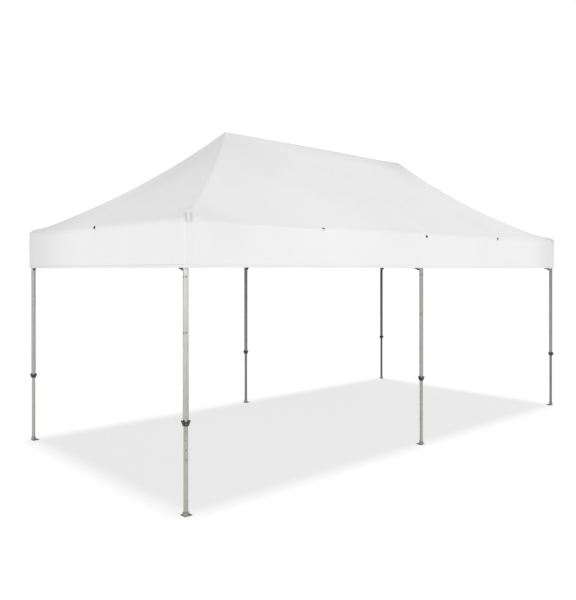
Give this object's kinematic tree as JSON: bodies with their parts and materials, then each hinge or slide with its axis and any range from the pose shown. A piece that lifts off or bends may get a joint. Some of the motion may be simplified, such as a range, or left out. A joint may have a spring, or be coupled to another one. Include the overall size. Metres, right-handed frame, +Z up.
{
  "type": "folding marquee",
  "caption": "White hipped-roof folding marquee with a short hanging border, standing on telescopic silver legs with foot plates.",
  "frame": {"origin": "on the floor under the middle of the tent", "axes": "+Z up; X along the long side, +X to the right seen from the front; front is -Y"},
  "size_m": [5.9142, 2.9943, 3.285],
  "materials": {
    "white_fabric": "coated polyester canvas, white, slight sheen",
    "satin_aluminium": "satin extruded",
    "dark_grey_plastic": "moulded nylon, fine matt",
    "dull_steel": "dull zinc-plated steel"
  },
  "bodies": {
    "root": {"outer_leg_front_left": "satin_aluminium", "leg_collar_front_left": "dark_grey_plastic", "head_bracket_front_left": "dark_grey_plastic", "slider_bracket_front_left": "dark_grey_plastic", "outer_leg_front_middle": "satin_aluminium", "leg_collar_front_middle": "dark_grey_plastic", "head_bracket_front_middle": "dark_grey_plastic", "slider_bracket_front_middle": "dark_grey_plastic", "outer_leg_front_right": "satin_aluminium", "leg_collar_front_right": "dark_grey_plastic", "head_bracket_front_right": "dark_grey_plastic", "slider_bracket_front_right": "dark_grey_plastic", "outer_leg_back_left": "satin_aluminium", "leg_collar_back_left": "dark_grey_plastic", "head_bracket_back_left": "dark_grey_plastic", "slider_bracket_back_left": "dark_grey_plastic", "outer_leg_back_middle": "satin_aluminium", "leg_collar_back_middle": "dark_grey_plastic", "head_bracket_back_middle": "dark_grey_plastic", "slider_bracket_back_middle": "dark_grey_plastic", "outer_leg_back_right": "satin_aluminium", "leg_collar_back_right": "dark_grey_plastic", "head_bracket_back_right": "dark_grey_plastic", "slider_bracket_back_right": "dark_grey_plastic", "front_truss_left": "satin_aluminium", "front_truss_right": "satin_aluminium", "back_truss_left": "satin_aluminium", "back_truss_right": "satin_aluminium", "cross_truss_left_front": "satin_aluminium", "cross_truss_right_front": "satin_aluminium", "cross_truss_left_back": "satin_aluminium", "cross_truss_right_back": "satin_aluminium", "end_truss_left": "satin_aluminium", "end_truss_right": "satin_aluminium", "ridge_truss": "satin_aluminium", "mast_left": "satin_aluminium", "mast_cap_left": "dark_grey_plastic", "mast_right": "satin_aluminium", "mast_cap_right": "dark_grey_plastic", "roof_panel_front": "white_fabric", "roof_panel_back": "white_fabric", "roof_panel_left": "white_fabric", "roof_panel_right": "white_fabric", "canopy_valance": "white_fabric"},
    "front_left_foot": {"inner_leg_front_left": "satin_aluminium", "foot_plate_front_left": "dull_steel"},
    "front_middle_foot": {"inner_leg_front_middle": "satin_aluminium", "foot_plate_front_middle": "dull_steel"},
    "front_right_foot": {"inner_leg_front_right": "satin_aluminium", "foot_plate_front_right": "dull_steel"},
    "back_left_foot": {"inner_leg_back_left": "satin_aluminium", "foot_plate_back_left": "dull_steel"},
    "back_middle_foot": {"inner_leg_back_middle": "satin_aluminium", "foot_plate_back_middle": "dull_steel"},
    "back_right_foot": {"inner_leg_back_right": "satin_aluminium", "foot_plate_back_right": "dull_steel"}
  },
  "joints": [
    {"name": "front_left_leg_slide", "type": "slide", "parent": "root", "child": "front_left_foot", "axis": [0, 0, 1], "range_m": [0, 0.63]},
    {"name": "front_middle_leg_slide", "type": "slide", "parent": "root", "child": "front_middle_foot", "axis": [0, 0, 1], "range_m": [0, 0.63]},
    {"name": "front_right_leg_slide", "type": "slide", "parent": "root", "child": "front_right_foot", "axis": [0, 0, 1], "range_m": [0, 0.63]},
    {"name": "back_left_leg_slide", "type": "slide", "parent": "root", "child": "back_left_foot", "axis": [0, 0, 1], "range_m": [0, 0.63]},
    {"name": "back_middle_leg_slide", "type": "slide", "parent": "root", "child": "back_middle_foot", "axis": [0, 0, 1], "range_m": [0, 0.63]},
    {"name": "back_right_leg_slide", "type": "slide", "parent": "root", "child": "back_right_foot", "axis": [0, 0, 1], "range_m": [0, 0.63]}
  ]
}
